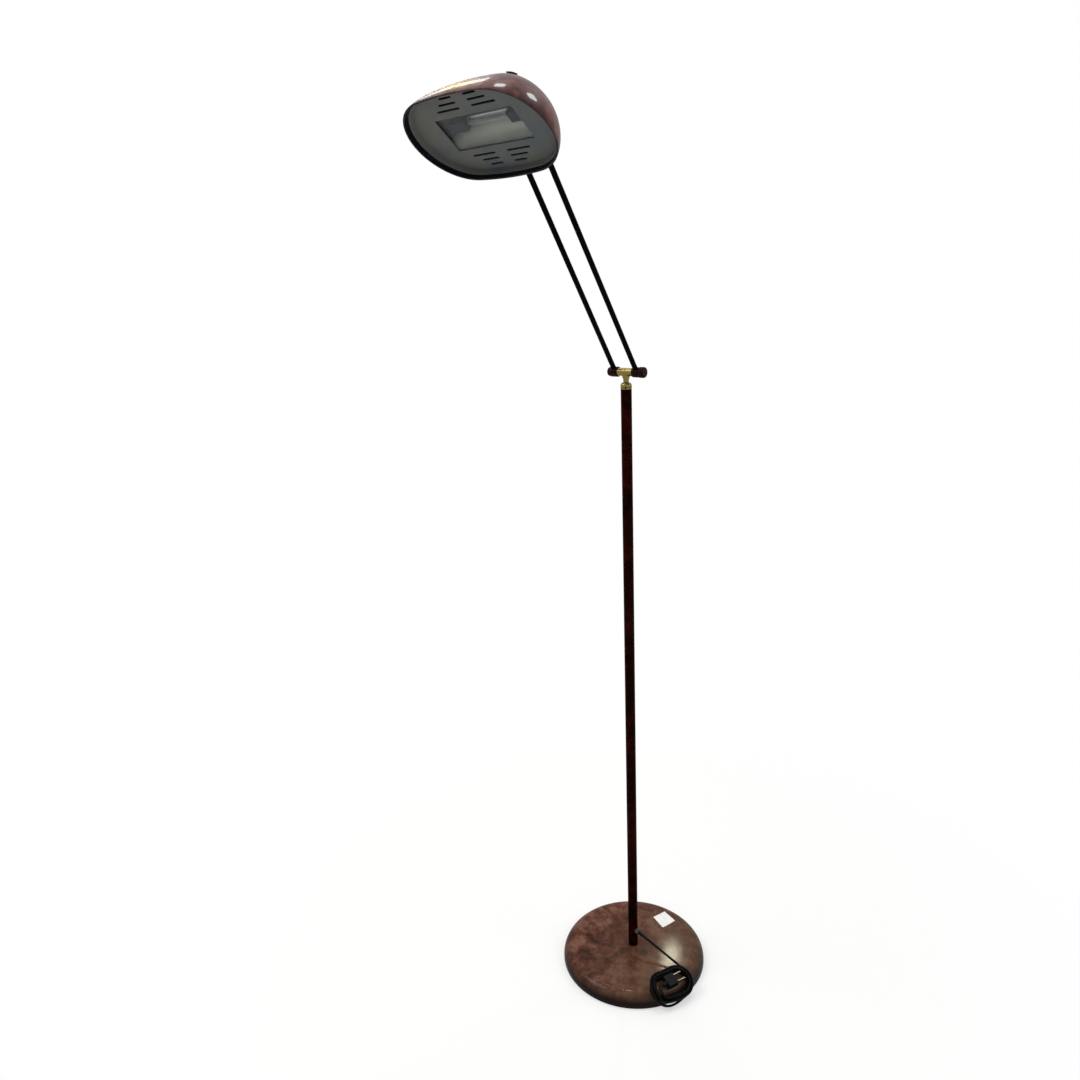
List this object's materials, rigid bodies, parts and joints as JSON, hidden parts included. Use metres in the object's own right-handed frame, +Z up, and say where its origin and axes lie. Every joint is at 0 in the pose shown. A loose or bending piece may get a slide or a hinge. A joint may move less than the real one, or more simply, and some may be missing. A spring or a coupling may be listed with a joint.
{
  "type": "floor lamp",
  "caption": "Reading floor lamp: round weighted base, straight pole, brass swivel, twin-rod arm and a tilting oval halogen head with a vented face; cord hanked on the base.",
  "frame": {"origin": "middle of the round base on the floor, on the pole's axis", "axes": "+Z up along the pole; X along the knuckle bars; the arm leans towards -Y in the stored pose"},
  "size_m": [0.26, 0.4706, 1.4003],
  "materials": {
    "base_marble": "gloss marbled brown paint",
    "pole_paint": "gloss dark red-brown paint",
    "iron": "raw casting",
    "black_steel": "satin black paint",
    "steel": "zinc plated",
    "brass": "polished",
    "knuckle_brown": "gloss dark brown paint",
    "shell_marble": "gloss marbled brown",
    "tray_grey": "satin grey paint",
    "clear_glass": "clear",
    "reflector_sheet": "semi-bright sheet",
    "ceramic": "unglazed white",
    "foot_rubber": "matte",
    "cord_black": "soft vinyl",
    "bushing_grey": "matte",
    "switch_black": "gloss"
  },
  "bodies": {
    "stand": {"base_cover": "base_marble", "base_plate": "black_steel", "base_weight": "iron", "foot_ring": "foot_rubber", "base_bolt": "steel", "base_washer": "steel", "pole_foot_plug": "steel", "pole_lower": "pole_paint", "pole_middle": "pole_paint", "pole_upper": "pole_paint", "pole_coupler_1": "steel", "pole_coupler_2": "steel", "pole_cap": "brass", "cap_grub_screw": "black_steel", "cord_bushing": "bushing_grey", "cord_run": "cord_black", "cord_hank": "cord_black", "plug_body": "cord_black", "plug_blade_1": "brass", "plug_blade_2": "brass"},
    "swivel": {"swivel_hub": "brass", "swivel_washer": "steel", "swivel_nut": "steel"},
    "arm": {"arm_barrel_left": "knuckle_brown", "arm_barrel_right": "knuckle_brown", "arm_pivot_bolt": "knuckle_brown", "arm_rod_left": "black_steel", "arm_rod_right": "black_steel", "head_barrel_left": "knuckle_brown", "head_barrel_right": "knuckle_brown", "head_pivot_bolt": "knuckle_brown"},
    "arm_knob": {"arm_knob": "knuckle_brown"},
    "head": {"head_shell": "shell_marble", "face_tray": "tray_grey", "lens_glass": "clear_glass", "reflector": "reflector_sheet", "reflector_screw_1": "steel", "reflector_screw_2": "steel", "reflector_screw_3": "steel", "reflector_screw_4": "steel", "lamp_tube": "clear_glass", "lamp_end_left": "ceramic", "lamp_end_right": "ceramic", "lamp_holder_left": "ceramic", "lamp_holder_right": "ceramic", "head_hub": "brass", "head_stem_nut": "steel", "switch_body": "switch_black"},
    "head_knob": {"head_knob": "knuckle_brown"},
    "switch_button": {"switch_button": "switch_black"}
  },
  "joints": [
    {"name": "swivel", "type": "hinge", "parent": "stand", "child": "swivel", "pos_m": [0, 0, 1], "axis": [0, 0, 1], "range_deg": [-170, 170]},
    {"name": "arm_tilt", "type": "hinge", "parent": "swivel", "child": "arm", "pos_m": [0, 0, 1.042], "axis": [1, 0, 0], "range_deg": [-60, 60]},
    {"name": "arm_knob_turn", "type": "hinge", "parent": "arm", "child": "arm_knob", "pos_m": [0.029, 0, 1.042], "axis": [1, 0, 0], "range_deg": [-180, 180]},
    {"name": "head_tilt", "type": "hinge", "parent": "arm", "child": "head", "pos_m": [0, -0.19925, 1.32975], "axis": [1, 0, 0], "range_deg": [-80, 65]},
    {"name": "head_knob_turn", "type": "hinge", "parent": "arm", "child": "head_knob", "pos_m": [0.029, -0.19925, 1.32975], "axis": [1, 0, 0], "range_deg": [-180, 180]},
    {"name": "switch_press", "type": "slide", "parent": "head", "child": "switch_button", "axis": [-0.2342, -0.0473, -0.971], "range_m": [0, 0.0015], "stiffness_N_per_m": 400, "springref_m": -0.001}
  ]
}
